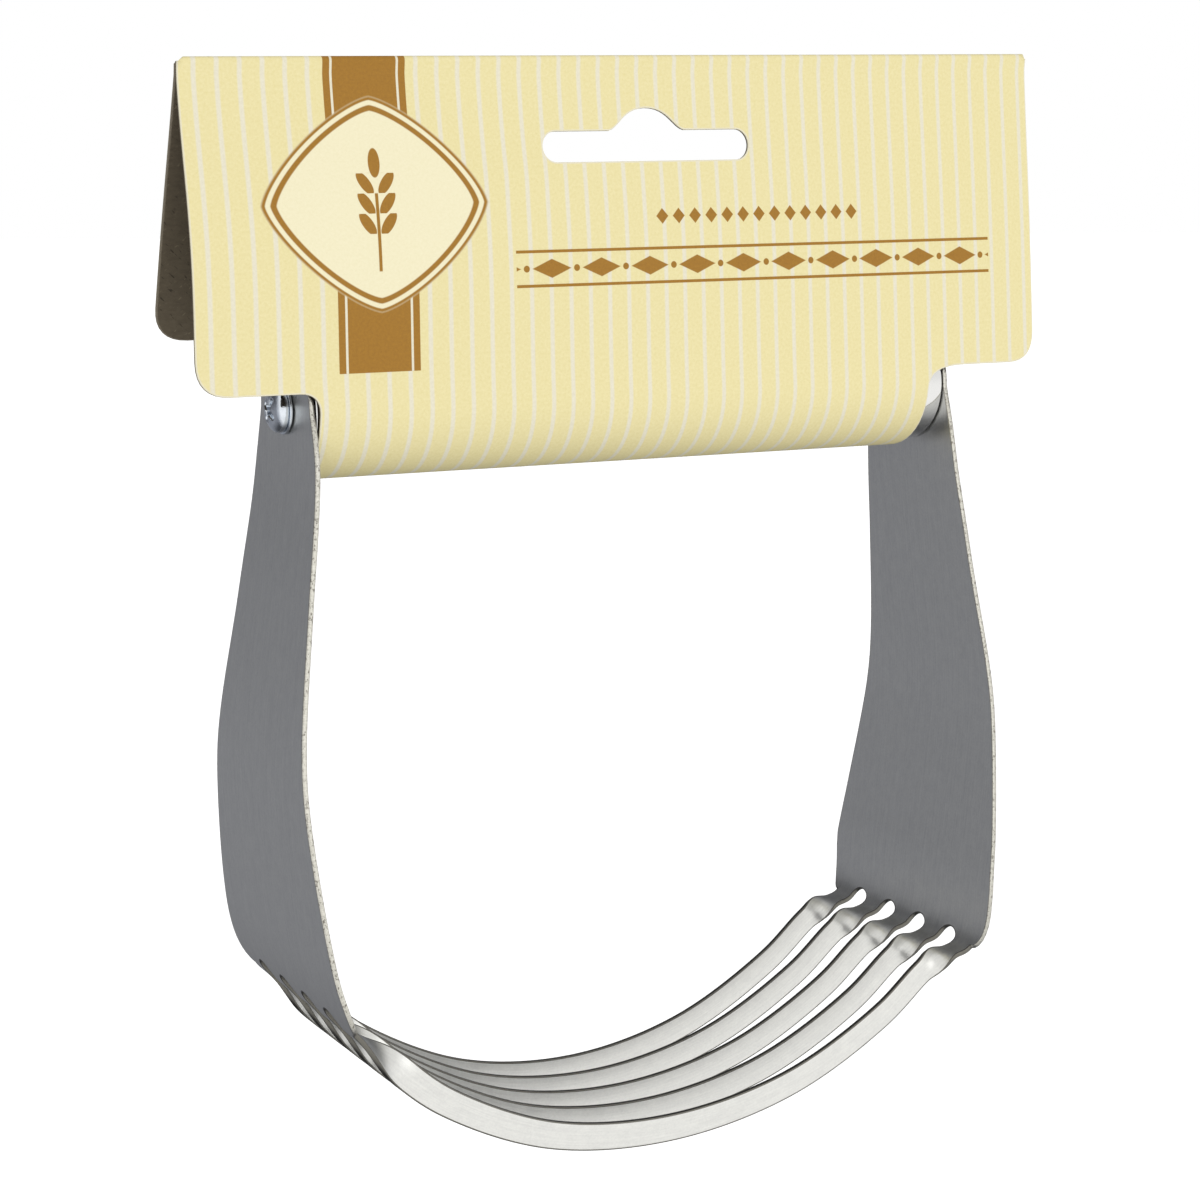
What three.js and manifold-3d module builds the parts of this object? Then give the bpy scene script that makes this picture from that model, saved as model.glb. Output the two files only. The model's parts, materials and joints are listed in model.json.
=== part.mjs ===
// A pastry blender hanging in its folded shop card.
// Millimetres, +Z up. X runs along the handle, Y from the front of the card to the back.
// The origin is the point on the shop peg that carries the card, at the top of the hang slot.
import * as THREE from "three";
import { mergeVertices } from "three/addons/utils/BufferGeometryUtils.js";
import Module from "manifold-3d";

const wasm = await Module();
wasm.setup();

// ---------- driving dimensions ----------
const SHEET = 0.7; // stainless sheet of the blade frame
const BLADE_PITCH = 7.5;
const BLADE_COUNT = 5;
const STRIP_WIDTH = 3.9; // a strip's width, which becomes the blade's depth
const FIT_GAP = 0.3; // between pieces that touch

const HANDLE_BELOW_PEG = 38.6;
const HANDLE_BEHIND_PEG = 4.0;
const HANDLE_RADIUS = 8.25;
const TUBE_WALL = 0.8;
const ARM_FACE = 49.5; // inner face of an arm where it meets the handle
const ARM_TOP_RADIUS = 8.3;

const PLUG_LENGTH = 11;
const SCREW_RADIUS = 1.75;
const SCREW_HOLE = 2.1;
const SCREW_HEAD_RADIUS = 2.95;
const SCREW_HEAD_HEIGHT = 1.9;
const SCREW_LENGTH = 12;
const CROSS_SPAN = 3.2; // cross recess in the screw's head
const CROSS_WIDTH = 0.7;
const CROSS_DEPTH = 1.1;
const WASHER_RADIUS = 3.2;
const WASHER_THICKNESS = 0.35;

const BOARD = 0.5; // thickness of the card
const CARD_WIDTH = 130;
const CARD_LEAN = THREE.MathUtils.degToRad(6.3); // the fold hangs this far in front of the handle
const CARD_TAPER = 0.00064; // the fold is cut slightly out of square
const RIDGE_HEIGHT = 45.9; // fold above the handle axis, at mid width
const LOOP_RADIUS = 8.9; // inside of the wrap under the handle
const LOOP_RISE = 0.3; // centre of the wrap above the handle axis
const FOLD_HALF_ANGLE = Math.asin((LOOP_RADIUS + BOARD) / (RIDGE_HEIGHT - LOOP_RISE));
const TONGUE_LEFT = 49; // edges of the card's middle part, between the arms
const TONGUE_RIGHT = 45.6;
const FRONT_WING_LEFT = 3.9; // lower edges of the wings above the handle axis, up the card
const FRONT_WING_RIGHT = 3.6;
const BACK_WING = 8.7;
const WING_CORNER = 4.5;
const WING_FILLET_LEFT = [2.5, 2.5]; // where a wing meets the middle part: across, and up the card
const WING_FILLET_RIGHT = [6.5, 3];
const HANG_SLOT_WIDTH = 32;
const HANG_SLOT_HEIGHT = 4.0;
const HANG_SLOT_MIDDLE = 34.1; // above the handle axis, up the card
const HANG_SLOT_HUMP = 2.9;
const HUMP_HALF_WIDTH = 5.8;
const BACK_SLOT_EXTRA = 4.6; // the back panel's slot is cut wider, so that only the front one guides the peg

// ---------- solids from geometry, and back ----------
function solid(geometry) {
  const bare = geometry.clone();
  bare.deleteAttribute("normal");
  bare.deleteAttribute("uv");
  const merged = mergeVertices(bare, 1e-5);
  return new wasm.Manifold(
    new wasm.Mesh({
      numProp: 3,
      vertProperties: new Float32Array(merged.attributes.position.array),
      triVerts: new Uint32Array(merged.index.array),
    })
  );
}

function geometryOf(manifold) {
  const mesh = manifold.getMesh();
  const geometry = new THREE.BufferGeometry();
  geometry.setAttribute("position", new THREE.BufferAttribute(new Float32Array(mesh.vertProperties), 3));
  geometry.setIndex(new THREE.BufferAttribute(new Uint32Array(mesh.triVerts), 1));
  geometry.computeVertexNormals();
  return geometry;
}

function steel(colour, roughness) {
  return new THREE.MeshStandardMaterial({ color: colour, roughness, metalness: 1 });
}

// An outline drawn in X and Z, extruded along Y between two depths.
function extrudeAlongY(shape, front, back) {
  const geometry = new THREE.ExtrudeGeometry(shape, { depth: back - front, bevelEnabled: false });
  geometry.rotateX(Math.PI / 2);
  geometry.translate(0, back, 0);
  return geometry;
}

// An outline drawn in Y and Z, extruded along X between two places.
function extrudeAlongX(shape, start, end) {
  const geometry = new THREE.ExtrudeGeometry(shape, { depth: end - start, bevelEnabled: false });
  const drawnXToY = new THREE.Matrix4().set(0, 0, 1, start, 1, 0, 0, 0, 0, 1, 0, 0, 0, 0, 0, 1);
  geometry.applyMatrix4(drawnXToY);
  return geometry;
}

// A round piece turned about the X axis, from [distance along X, radius] points.
function turnedAboutX(points, segments = 48) {
  const profile = points.map(([along, radius]) => new THREE.Vector2(radius, along));
  const geometry = new THREE.LatheGeometry(profile, segments);
  geometry.rotateZ(-Math.PI / 2);
  return geometry;
}

// ---------- blade frame ----------
// Middle of the sheet in the front view, as [distance from the middle, height above the handle axis],
// from an arm's top to the last point before the blades' lowest one. The right arm reaches lower
// and its strips leave it in a sharper bend.
const ARM_MIDDLE = ARM_FACE + SHEET / 2;
const ARM_START = [
  [ARM_MIDDLE, ARM_TOP_RADIUS + 2],
  [ARM_MIDDLE, -7],
  [51.95, -24.2],
  [54.2, -41.1],
  [54.5, -48.4],
  [53.1, -65.3],
];
const RIGHT = {
  side: 1,
  points: [
    ...ARM_START,
    [52, -74],
    [51.6, -80],
    [50.3, -83.2],
    [46.6, -84.1],
    [43, -85.9],
    [35.5, -91.6],
    [19.4, -99.1],
  ],
  slotTop: -81.2,
  armBottom: -83,
  rootEnd: -83.2,
  cornerHeight: 9,
  neckFlat: 2, // along the sheet from the arm, until a strip starts to turn
  neckLength: 8, // and until it stands on edge
};
const LEFT = {
  side: -1,
  points: [...ARM_START, [51.7, -73], [49.6, -78], [43.5, -84], [35.5, -91], [19.4, -99.1]],
  slotTop: -76.2,
  armBottom: -78.4,
  rootEnd: -79,
  cornerHeight: 4.5,
  neckFlat: 0,
  neckLength: 12,
};
const BOTTOM_MIDDLE = [0, -101.9];
const BLADE_SAG = 0.3; // how far the middle blade hangs below the sheet's line at half way
const BLADE_LEAN = 0.045; // more sag for each millimetre towards the back
const ARM_WIDEST = 19.3;
const CUT_SPARE = 5; // how far a cutting or cut outline runs past the piece it leaves
const STRIPS_HALF_WIDTH = (BLADE_PITCH * (BLADE_COUNT - 1) + STRIP_WIDTH) / 2;
const SLOT_WIDTH = BLADE_PITCH - STRIP_WIDTH;

function sheetCurve() {
  const right = RIGHT.points.map(([x, z]) => new THREE.Vector3(x, 0, z));
  const left = LEFT.points.map(([x, z]) => new THREE.Vector3(-x, 0, z)).reverse();
  const bottom = new THREE.Vector3(BOTTOM_MIDDLE[0], 0, BOTTOM_MIDDLE[1]);
  return new THREE.CatmullRomCurve3([...right, bottom, ...left], false, "centripetal");
}

// How far along the sheet curve, from 0 to 1, an arm's strips begin, found by halving the stretch
// between the arm's top and the blades' lowest point.
function alongAtRoot(curve, { side, rootEnd }) {
  const halvings = 40;
  let above = side > 0 ? 0 : 1;
  let below = 0.5;
  for (let i = 0; i < halvings; i += 1) {
    const middle = (above + below) / 2;
    if (curve.getPointAt(middle).z > rootEnd) above = middle;
    else below = middle;
  }
  return (above + below) / 2;
}

// The middle of the sheet at a place along the curve, and the way from there to its inner face.
function sheetAt(curve, along) {
  const p = curve.getPointAt(along);
  const t = curve.getTangentAt(along);
  const inward = new THREE.Vector3(t.z, 0, -t.x);
  return { p, inward };
}

// Side view of an arm, without its slots: rounded top, S-shaped flanks and rounded bottom corners.
function armOutline({ armBottom, rootEnd, cornerHeight }) {
  const flank = new THREE.SplineCurve([
    new THREE.Vector2(ARM_TOP_RADIUS, 0),
    new THREE.Vector2(9.9, -6),
    new THREE.Vector2(10.9, -14),
    new THREE.Vector2(12.7, -29.5),
    new THREE.Vector2(15.5, -48.4),
    new THREE.Vector2(18.3, -66),
    new THREE.Vector2(ARM_WIDEST, armBottom + cornerHeight),
  ]);
  const flankSteps = 36;
  const right = flank.getPoints(flankSteps);
  const shape = new THREE.Shape();
  shape.moveTo(-ARM_TOP_RADIUS, 0);
  shape.absarc(0, 0, ARM_TOP_RADIUS, Math.PI, 0, true);
  right.slice(1).forEach((p) => shape.lineTo(p.x, p.y));
  shape.quadraticCurveTo(ARM_WIDEST, armBottom, STRIPS_HALF_WIDTH, armBottom);
  shape.lineTo(STRIPS_HALF_WIDTH, rootEnd - CUT_SPARE);
  shape.lineTo(-STRIPS_HALF_WIDTH, rootEnd - CUT_SPARE);
  shape.lineTo(-STRIPS_HALF_WIDTH, armBottom);
  shape.quadraticCurveTo(-ARM_WIDEST, armBottom, -ARM_WIDEST, armBottom + cornerHeight);
  right.slice(1, -1).reverse().forEach((p) => shape.lineTo(-p.x, p.y));
  return shape;
}

function slotOutline(middle, { slotTop, rootEnd }) {
  const half = SLOT_WIDTH / 2;
  const shape = new THREE.Shape();
  shape.moveTo(middle - half, rootEnd - 2 * CUT_SPARE);
  shape.lineTo(middle + half, rootEnd - 2 * CUT_SPARE);
  shape.lineTo(middle + half, slotTop - half);
  shape.absarc(middle, slotTop - half, half, 0, Math.PI, false);
  return shape;
}

// The bent sheet as a band in the front view, cut square across where the strips' necks begin.
function bentBand(half) {
  const curve = sheetCurve();
  const armTop = half.side > 0 ? 0 : 1;
  const root = alongAtRoot(curve, half);
  const steps = 48;
  const oneFace = [];
  const otherFace = [];
  for (let i = 0; i <= steps; i += 1) {
    const { p, inward } = sheetAt(curve, armTop + ((root - armTop) * i) / steps);
    const step = inward.multiplyScalar((half.side * SHEET) / 2);
    oneFace.push(new THREE.Vector2(p.x - step.x, p.z - step.z));
    otherFace.push(new THREE.Vector2(p.x + step.x, p.z + step.z));
  }
  const shape = new THREE.Shape([...oneFace, ...otherFace.reverse()]);
  return solid(extrudeAlongY(shape, -ARM_WIDEST - CUT_SPARE, ARM_WIDEST + CUT_SPARE));
}

// One arm: the side-view plate, with its slots and screw hole, where it meets the bent sheet.
function arm(half) {
  const start = half.side * ARM_FACE - 2 * CUT_SPARE;
  const end = start + 4 * CUT_SPARE;
  const before = start - 1;
  const after = end + 1;
  let plate = solid(extrudeAlongX(armOutline(half), start, end));
  for (let i = 0; i < BLADE_COUNT - 1; i += 1) {
    const middle = (i - (BLADE_COUNT - 2) / 2) * BLADE_PITCH;
    plate = plate.subtract(solid(extrudeAlongX(slotOutline(middle, half), before, after)));
  }
  const hole = turnedAboutX([[before, 0], [before, SCREW_HOLE], [after, SCREW_HOLE], [after, 0]], 24);
  return plate.subtract(solid(hole)).intersect(bentBand(half));
}

// Places along the curve where a strip's section is set: close together in the two necks, where
// the strip also turns a quarter round.
function stripStations(curve) {
  const rightRoot = alongAtRoot(curve, RIGHT);
  const leftRoot = alongAtRoot(curve, LEFT);
  const total = curve.getLength();
  const rightNeck = RIGHT.neckLength / total;
  const leftNeck = LEFT.neckLength / total;
  const neckSteps = 20;
  const bladeSteps = 32;
  const bladeStep = (leftRoot - rightRoot - rightNeck - leftNeck) / bladeSteps;
  const stations = [];
  for (let i = 0; i < neckSteps; i += 1) {
    stations.push(rightRoot + (rightNeck * i) / neckSteps);
    stations.push(leftRoot - (leftNeck * i) / neckSteps);
  }
  for (let i = 0; i <= bladeSteps; i += 1) stations.push(rightRoot + rightNeck + bladeStep * i);
  stations.sort((a, b) => a - b);
  return stations.map((along) => {
    const fromRight = (along - rightRoot) * total;
    const fromLeft = (leftRoot - along) * total;
    const turned = Math.min(
      THREE.MathUtils.smoothstep(fromRight, RIGHT.neckFlat, RIGHT.neckLength),
      THREE.MathUtils.smoothstep(fromLeft, LEFT.neckFlat, LEFT.neckLength),
    );
    const halfWay = Math.sin((Math.PI * (along - rightRoot)) / (leftRoot - rightRoot)) ** 2;
    return { along, turn: (turned * Math.PI) / 2, halfWay };
  });
}

// One strip between the two arms: turned a quarter round in each neck, and on edge along the
// blade between them. Its back edge becomes the blade's upper edge.
function strip(offset) {
  const curve = sheetCurve();
  const front = new THREE.Vector3(0, -1, 0);
  const positions = [];
  const index = [];
  stripStations(curve).forEach(({ along, turn, halfWay }, station) => {
    const sag = (BLADE_SAG + BLADE_LEAN * offset) * halfWay;
    const { p, inward } = sheetAt(curve, along);
    const across = front.clone().multiplyScalar(Math.cos(turn)).addScaledVector(inward, -Math.sin(turn));
    const through = inward.clone().multiplyScalar(Math.cos(turn)).addScaledVector(front, Math.sin(turn));
    for (const [a, b] of [[1, 1], [-1, 1], [-1, -1], [1, -1]]) {
      const corner = p.clone().addScaledVector(across, (a * STRIP_WIDTH) / 2);
      corner.addScaledVector(through, (b * SHEET) / 2);
      positions.push(corner.x, corner.y + offset, corner.z - sag);
    }
    if (station === 0) return;
    const from = (station - 1) * 4;
    for (let c = 0; c < 4; c += 1) {
      const a = from + c;
      const b = from + ((c + 1) % 4);
      index.push(a, b, a + 4, b, b + 4, a + 4);
    }
  });
  const last = positions.length / 3 - 4;
  index.push(0, 2, 1, 0, 3, 2, last, last + 1, last + 2, last, last + 2, last + 3);
  const geometry = new THREE.BufferGeometry();
  geometry.setAttribute("position", new THREE.Float32BufferAttribute(positions, 3));
  geometry.setIndex(index);
  return geometry;
}

function bladeFrame() {
  let body = arm(RIGHT).add(arm(LEFT));
  for (let i = 0; i < BLADE_COUNT; i += 1) {
    body = body.add(solid(strip((i - (BLADE_COUNT - 1) / 2) * BLADE_PITCH)));
  }
  const mesh = new THREE.Mesh(geometryOf(body), steel(0x85878b, 0.42));
  mesh.name = "blade_frame";
  return mesh;
}

// ---------- handle and its fixings ----------
function handleTube() {
  const end = ARM_FACE - FIT_GAP;
  const bore = HANDLE_RADIUS - TUBE_WALL;
  const profile = [[-end, bore], [-end, HANDLE_RADIUS], [end, HANDLE_RADIUS], [end, bore], [-end, bore]];
  const mesh = new THREE.Mesh(turnedAboutX(profile, 64), steel(0xc9cbce, 0.12));
  mesh.name = "handle_tube";
  return mesh;
}

function endPlug(side) {
  const outer = HANDLE_RADIUS - TUBE_WALL - FIT_GAP;
  const bore = SCREW_RADIUS + FIT_GAP;
  const chamfer = 0.6;
  const far = ARM_FACE - FIT_GAP;
  const near = far - PLUG_LENGTH;
  const profile = [
    [near, bore],
    [near, outer - chamfer],
    [near + chamfer, outer],
    [far, outer],
    [far, bore],
    [near, bore],
  ];
  const mesh = new THREE.Mesh(turnedAboutX(profile), steel(0x9a9a98, 0.5));
  mesh.name = side > 0 ? "right_end_plug" : "left_end_plug";
  if (side < 0) mesh.rotation.z = Math.PI;
  return mesh;
}

function washer(side) {
  const near = ARM_FACE + SHEET + FIT_GAP;
  const far = near + WASHER_THICKNESS;
  const profile = [
    [near, SCREW_HOLE],
    [near, WASHER_RADIUS],
    [far, WASHER_RADIUS],
    [far, SCREW_HOLE],
    [near, SCREW_HOLE],
  ];
  const mesh = new THREE.Mesh(turnedAboutX(profile), steel(0xd3d9de, 0.2));
  mesh.name = side > 0 ? "right_washer" : "left_washer";
  if (side < 0) mesh.rotation.z = Math.PI;
  return mesh;
}

// Pan head with a domed face, a cross recess and a plain shank.
function screw(side) {
  const seat = ARM_FACE + SHEET + WASHER_THICKNESS + 2 * FIT_GAP;
  const tip = seat - SCREW_LENGTH;
  const chamfer = 0.4;
  const rim = 0.7;
  const dome = SCREW_HEAD_HEIGHT - rim;
  const domeSteps = 6;
  const profile = [
    [tip, 0],
    [tip, SCREW_RADIUS - chamfer],
    [tip + chamfer, SCREW_RADIUS],
    [seat, SCREW_RADIUS],
    [seat, SCREW_HEAD_RADIUS],
  ];
  for (let i = 0; i <= domeSteps; i += 1) {
    const angle = (i / domeSteps) * (Math.PI / 2);
    profile.push([seat + rim + dome * Math.sin(angle), SCREW_HEAD_RADIUS * Math.cos(angle)]);
  }
  profile[profile.length - 1][1] = 0;
  let body = solid(turnedAboutX(profile, 40));
  const crown = seat + SCREW_HEAD_HEIGHT;
  const crossTurn = Math.PI / 5;
  for (const quarter of [0, 1]) {
    const wing = new THREE.BoxGeometry(2 * CROSS_DEPTH, CROSS_SPAN, CROSS_WIDTH);
    wing.translate(crown, 0, 0);
    wing.rotateX((quarter * Math.PI) / 2 + crossTurn);
    body = body.subtract(solid(wing));
  }
  const mesh = new THREE.Mesh(geometryOf(body), steel(0xaebac4, 0.18));
  mesh.name = side > 0 ? "right_screw" : "left_screw";
  if (side < 0) mesh.rotation.z = Math.PI;
  return mesh;
}

// ---------- hang card ----------
// Closed loop of board in the side view: a fold at the top, two straight panels, and a round
// wrap under the handle that both panels meet in a tangent.
function loopOutline(offset) {
  const radius = LOOP_RADIUS + offset;
  const ridge = RIDGE_HEIGHT + (offset - BOARD) / Math.sin(FOLD_HALF_ANGLE);
  const spread = Math.asin(radius / (ridge - LOOP_RISE));
  const path = new THREE.Path();
  path.moveTo(0, ridge);
  path.lineTo(-radius * Math.cos(spread), LOOP_RISE + radius * Math.sin(spread));
  path.absarc(0, LOOP_RISE, radius, Math.PI - spread, spread, false);
  path.lineTo(0, ridge);
  return path;
}

function boardLoop() {
  const arcSteps = 24;
  const shape = new THREE.Shape(loopOutline(BOARD).getPoints(arcSteps));
  shape.holes.push(new THREE.Path(loopOutline(0).getPoints(arcSteps)));
  const geometry = extrudeAlongX(shape, -CARD_WIDTH / 2, CARD_WIDTH / 2);
  const bottom = LOOP_RISE - LOOP_RADIUS - BOARD;
  const position = geometry.attributes.position;
  for (let i = 0; i < position.count; i += 1) {
    const scale = 1 + CARD_TAPER * position.getX(i);
    position.setY(i, position.getY(i) * scale);
    position.setZ(i, bottom + (position.getZ(i) - bottom) * scale);
  }
  return solid(geometry);
}

// What is cut away below one wing: it leaves a rounded wing corner outside and a fillet
// where the wing meets the tongue.
function belowWing(side, wingBottom) {
  const tongue = side < 0 ? TONGUE_LEFT : TONGUE_RIGHT;
  const edge = CARD_WIDTH / 2;
  const past = edge + CUT_SPARE;
  const floor = -LOOP_RADIUS - 2 * CUT_SPARE;
  const [across, up] = side < 0 ? WING_FILLET_LEFT : WING_FILLET_RIGHT;
  const shape = new THREE.Shape();
  shape.moveTo(side * tongue, floor);
  shape.lineTo(side * tongue, wingBottom - up);
  shape.quadraticCurveTo(side * tongue, wingBottom, side * (tongue + across), wingBottom);
  shape.lineTo(side * (edge - WING_CORNER), wingBottom);
  shape.quadraticCurveTo(side * edge, wingBottom, side * edge, wingBottom + WING_CORNER);
  shape.lineTo(side * past, wingBottom + WING_CORNER);
  shape.lineTo(side * past, floor);
  return shape;
}

// A peg slot with round ends and a hump in the middle of its upper edge.
function hangSlot(extra) {
  const half = HANG_SLOT_HEIGHT / 2 + extra / 3;
  const straight = HANG_SLOT_WIDTH / 2 + extra - half;
  const low = HANG_SLOT_MIDDLE - half;
  const high = HANG_SLOT_MIDDLE + half;
  const top = high + HANG_SLOT_HUMP;
  const foot = HUMP_HALF_WIDTH + extra / 2;
  const shoulder = 0.72 * foot;
  const brow = 0.59 * foot;
  const shape = new THREE.Shape();
  shape.moveTo(-straight, low);
  shape.lineTo(straight, low);
  shape.absarc(straight, HANG_SLOT_MIDDLE, half, -Math.PI / 2, Math.PI / 2, false);
  shape.lineTo(foot, high);
  shape.bezierCurveTo(shoulder, high + 0.4, brow, top, 0, top);
  shape.bezierCurveTo(-brow, top, -shoulder, high + 0.4, -foot, high);
  shape.lineTo(-straight, high);
  shape.absarc(-straight, HANG_SLOT_MIDDLE, half, Math.PI / 2, (3 * Math.PI) / 2, false);
  return shape;
}

function hangCard() {
  const reach = LOOP_RADIUS + 2 * CUT_SPARE;
  const inFront = [belowWing(-1, FRONT_WING_LEFT), belowWing(1, FRONT_WING_RIGHT), hangSlot(0)];
  const behind = [belowWing(-1, BACK_WING), belowWing(1, BACK_WING), hangSlot(BACK_SLOT_EXTRA)];
  let body = boardLoop();
  const pastMiddle = 0.5;
  for (const cut of inFront) body = body.subtract(solid(extrudeAlongY(cut, -reach, pastMiddle)));
  for (const cut of behind) body = body.subtract(solid(extrudeAlongY(cut, -pastMiddle, reach)));
  const paper = new THREE.MeshStandardMaterial({ color: 0xeadfa8, roughness: 0.7, metalness: 0 });
  const mesh = new THREE.Mesh(geometryOf(body), paper);
  mesh.name = "hang_card";
  return mesh;
}

// ---------- assembly ----------
const tool = new THREE.Group();
tool.add(bladeFrame(), handleTube());
for (const side of [-1, 1]) tool.add(endPlug(side), washer(side), screw(side));

const card = new THREE.Group();
card.rotation.x = CARD_LEAN;
card.add(hangCard());

const product = new THREE.Group();
product.position.set(0, HANDLE_BEHIND_PEG, -HANDLE_BELOW_PEG);
product.add(tool, card);

const model = new THREE.Group();
model.add(product);

export default model;
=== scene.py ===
"""A pastry blender hanging in its folded shop card: the looks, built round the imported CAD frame.

Lengths are millimetres from the middle of the handle, with X along the handle, Y from the front of
the card to its back and Z up. to_metres() moves them into the frame, round the hinge that the tool
swings on.
"""

import json
import math

import bpy
import numpy as np
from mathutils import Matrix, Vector
from mathutils.geometry import delaunay_2d_cdt


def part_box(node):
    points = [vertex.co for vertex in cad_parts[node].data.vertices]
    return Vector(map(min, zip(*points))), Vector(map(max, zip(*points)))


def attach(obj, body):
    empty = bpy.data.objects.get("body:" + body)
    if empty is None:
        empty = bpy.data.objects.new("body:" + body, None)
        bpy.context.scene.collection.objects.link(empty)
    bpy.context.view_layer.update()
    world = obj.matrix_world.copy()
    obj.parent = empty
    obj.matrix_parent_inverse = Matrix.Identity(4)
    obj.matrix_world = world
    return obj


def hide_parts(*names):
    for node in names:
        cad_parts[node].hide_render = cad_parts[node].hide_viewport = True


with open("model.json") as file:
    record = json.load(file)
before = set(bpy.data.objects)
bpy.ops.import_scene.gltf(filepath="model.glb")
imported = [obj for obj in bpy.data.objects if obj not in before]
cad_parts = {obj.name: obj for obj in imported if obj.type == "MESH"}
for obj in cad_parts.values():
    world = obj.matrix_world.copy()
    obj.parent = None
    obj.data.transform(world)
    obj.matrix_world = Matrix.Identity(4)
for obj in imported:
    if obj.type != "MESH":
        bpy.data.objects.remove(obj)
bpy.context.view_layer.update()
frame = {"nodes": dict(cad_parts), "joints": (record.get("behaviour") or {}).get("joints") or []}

MM = 0.001
HANDLE_MIDDLE = np.array(frame["joints"][0]["pos_m"])
QUARTER = math.pi / 2

# ---------- sizes, as in the CAD ----------
tube_low, tube_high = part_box("handle_tube")
HANDLE_HALF = tube_high.x / MM
HANDLE_RADIUS = (tube_high.z - tube_low.z) / 2 / MM
TUBE_WALL = 0.8
ARM_OUTSIDE = 50.22  # outer face of an arm at the screw
WASHER_THICKNESS = 0.35

SHEET = 0.7
EDGE_ROUND = 0.1
STRIP_WIDTH = 3.9
BLADE_PITCH = 7.5
BLADE_COUNT = 5
BLADE_OFFSETS = (np.arange(BLADE_COUNT) - (BLADE_COUNT - 1) / 2) * BLADE_PITCH
SLOT_WIDTH = BLADE_PITCH - STRIP_WIDTH
STRIPS_HALF_WIDTH = BLADE_OFFSETS[-1] + STRIP_WIDTH / 2
BLADE_SAG = 0.3  # of the middle blade, half way
BLADE_LEAN = 0.045  # more sag for each millimetre towards the back
ARM_TOP_RADIUS = 8.3
ARM_WIDEST = 19.3
SCREW_HOLE = 2.1

# Middle of the sheet in the front view, down an arm and along the blades to their lowest point.
ARM_MIDDLE = 49.85
ARM_START = [
    (ARM_MIDDLE, 10.3),
    (ARM_MIDDLE, -7),
    (51.95, -24.2),
    (54.2, -41.1),
    (54.5, -48.4),
    (53.1, -65.3),
]
RIGHT = {
    "side": 1,
    "points": ARM_START
    + [(52, -74), (51.6, -80), (50.3, -83.2), (46.6, -84.1), (43, -85.9), (35.5, -91.6), (19.4, -99.1)],
    "slot_top": -81.2,
    "arm_bottom": -83.0,
    "root": -83.2,
    "corner_height": 9.0,
    "neck_flat": 2.0,  # along the sheet from the arm, until a strip starts to turn
    "neck_length": 8.0,  # and until it stands on edge
}
LEFT = {
    "side": -1,
    "points": ARM_START + [(51.7, -73), (49.6, -78), (43.5, -84), (35.5, -91), (19.4, -99.1)],
    "slot_top": -76.2,
    "arm_bottom": -78.4,
    "root": -79.0,
    "corner_height": 4.5,
    "neck_flat": 0.0,
    "neck_length": 12.0,
}
BOTTOM_MIDDLE = (0, -101.9)
# Side view of an arm's flank, as height and distance from the middle.
FLANK = [(0, ARM_TOP_RADIUS), (-6, 9.9), (-14, 10.9), (-29.5, 12.7), (-48.4, 15.5), (-66, 18.3)]
LINE_STEP = 0.1

_, card_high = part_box("hang_card")
CARD_HALF = card_high.x / MM
BOARD = 0.5
CARD_LEAN = math.radians(6.3)
CARD_TAPER = 0.00064
RIDGE_HEIGHT = 45.9
WRAP_RADIUS = 9.15
WRAP_RISE = 0.3
CARD_BOTTOM = WRAP_RISE - WRAP_RADIUS - BOARD / 2
TONGUE_LEFT = 49.0
TONGUE_RIGHT = 45.6


def to_metres(points):
    return np.asarray(points) * MM + HANDLE_MIDDLE


def smoothstep(t):
    t = np.clip(t, 0, 1)
    return t * t * (3 - 2 * t)


# ---------- curves ----------
def curve_through(points, per_span=40):
    """Points along the centripetal Catmull-Rom curve through the given ones."""
    given = np.array(points, float)
    given = np.vstack([2 * given[0] - given[1], given, 2 * given[-1] - given[-2]])
    t = np.linspace(0, 1, per_span, endpoint=False)[:, None]
    spans = []
    for a, b, c, d in zip(given, given[1:], given[2:], given[3:]):
        before, here, after = (np.linalg.norm(q - p) ** 0.5 for p, q in ((a, b), (b, c), (c, d)))
        leave = here * ((b - a) / before - (c - a) / (before + here) + (c - b) / here)
        arrive = here * ((c - b) / here - (d - b) / (here + after) + (d - c) / after)
        spans.append(
            (2 * t**3 - 3 * t**2 + 1) * b
            + (t**3 - 2 * t**2 + t) * leave
            + (3 * t**2 - 2 * t**3) * c
            + (t**3 - t**2) * arrive
        )
    return np.vstack(spans + [given[-2:-1]])


def evenly(points, step):
    """The same open line with its points a step apart."""
    lengths = np.concatenate([[0], np.cumsum(np.linalg.norm(np.diff(points, axis=0), axis=1))])
    places = np.linspace(0, lengths[-1], max(2, round(lengths[-1] / step)) + 1)
    return np.stack([np.interp(places, lengths, column) for column in points.T], axis=1)


def softened(points, reach):
    """A line of even points, with its corners softened over about reach points; its ends stay."""
    steps = np.arange(-3 * reach, 3 * reach + 1)
    weights = np.exp(-0.5 * (steps / reach) ** 2)
    weights /= weights.sum()
    before = 2 * points[0] - points[3 * reach : 0 : -1]
    after = 2 * points[-1] - points[-2 : -3 * reach - 2 : -1]
    padded = np.vstack([before, points, after])
    return np.stack([np.convolve(column, weights, "valid") for column in padded.T], axis=1)


# ---------- a flat pattern, bent into place ----------
EDGE_SUPPORT = 0.12  # ring of faces inside a rounded edge, which keeps the shading of the flat face flat


def inset(loop, distance):
    """A closed line moved to its left, which is the side where the sheet is."""
    forward = np.roll(loop, -1, axis=0) - loop
    forward /= np.linalg.norm(forward, axis=1)[:, None]
    left = np.stack([-forward[:, 1], forward[:, 0]], axis=1)
    both = left + np.roll(left, 1, axis=0)
    both /= np.linalg.norm(both, axis=1)[:, None]
    return loop + both * distance / np.maximum((both * left).sum(axis=1), 0.5)[:, None]


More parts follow.
